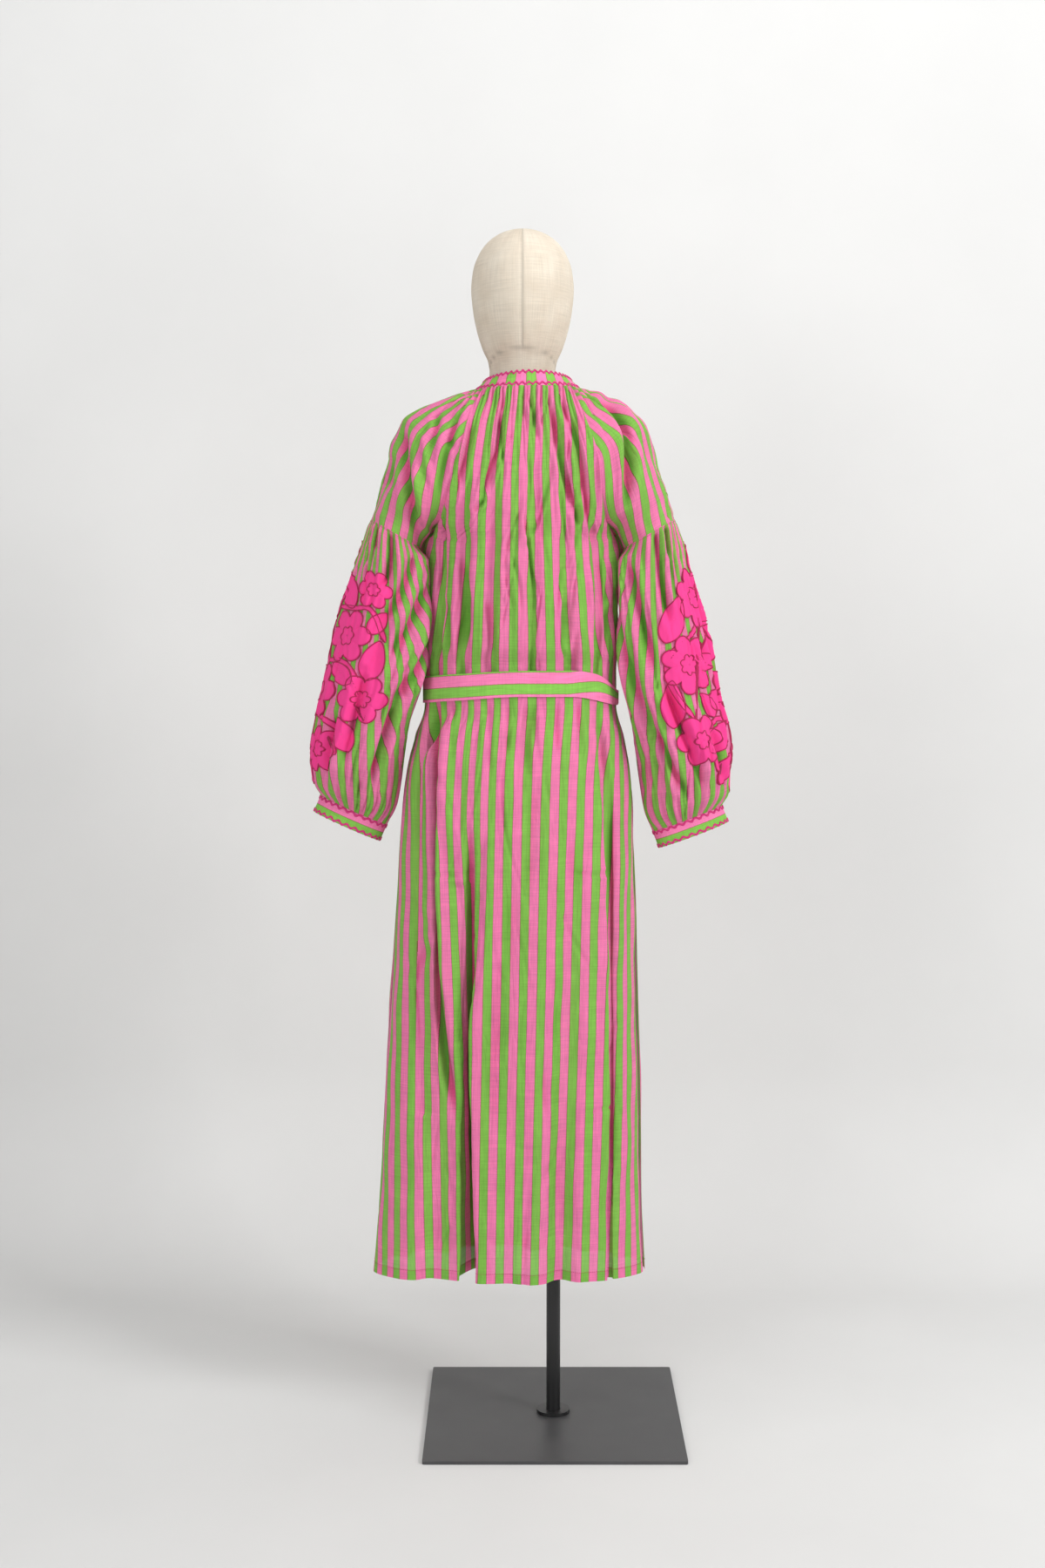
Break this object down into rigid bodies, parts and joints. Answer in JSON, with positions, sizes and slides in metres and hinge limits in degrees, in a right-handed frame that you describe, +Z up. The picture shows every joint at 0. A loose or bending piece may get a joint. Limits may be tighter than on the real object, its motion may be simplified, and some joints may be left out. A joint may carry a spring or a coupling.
{
  "type": "kaftan on a dress form with a stand",
  "caption": "Striped raglan kaftan with gathered balloon sleeves, braid trim and a tie belt, worn by a limbless dress form on a pole and square plate.",
  "frame": {"origin": "centre of the base plate's underside, on the pole's axis", "axes": "+Z up, +X to the right of the garment's back view, +Y towards the garment's front"},
  "size_m": [0.6223, 0.38, 1.766],
  "materials": {
    "striped_voile": "striped pink and green slub cotton voile, matte",
    "hot_pink_cotton": "matte hot-pink cotton",
    "form_linen": "unbleached linen over a hard shell, matte",
    "black_steel": "black powder coat, satin"
  },
  "bodies": {
    "root": {"back_panel": "striped_voile", "front_panel": "striped_voile", "raglan_sleeve_left": "striped_voile", "raglan_sleeve_right": "striped_voile", "balloon_sleeve_left": "striped_voile", "balloon_sleeve_right": "striped_voile", "cuff_left": "striped_voile", "cuff_right": "striped_voile", "neckband": "striped_voile", "belt": "striped_voile", "belt_knot": "striped_voile", "belt_tail_left": "striped_voile", "belt_tail_right": "striped_voile", "applique_left": "hot_pink_cotton", "applique_right": "hot_pink_cotton", "ricrac_neck_top": "hot_pink_cotton", "ricrac_neck_bottom": "hot_pink_cotton", "ricrac_cuff_left_top": "hot_pink_cotton", "ricrac_cuff_left_bottom": "hot_pink_cotton", "ricrac_cuff_right_top": "hot_pink_cotton", "ricrac_cuff_right_bottom": "hot_pink_cotton", "form_torso": "form_linen", "form_head": "form_linen", "pole": "black_steel", "base_flange": "black_steel", "base_plate": "black_steel"}
  },
  "joints": []
}
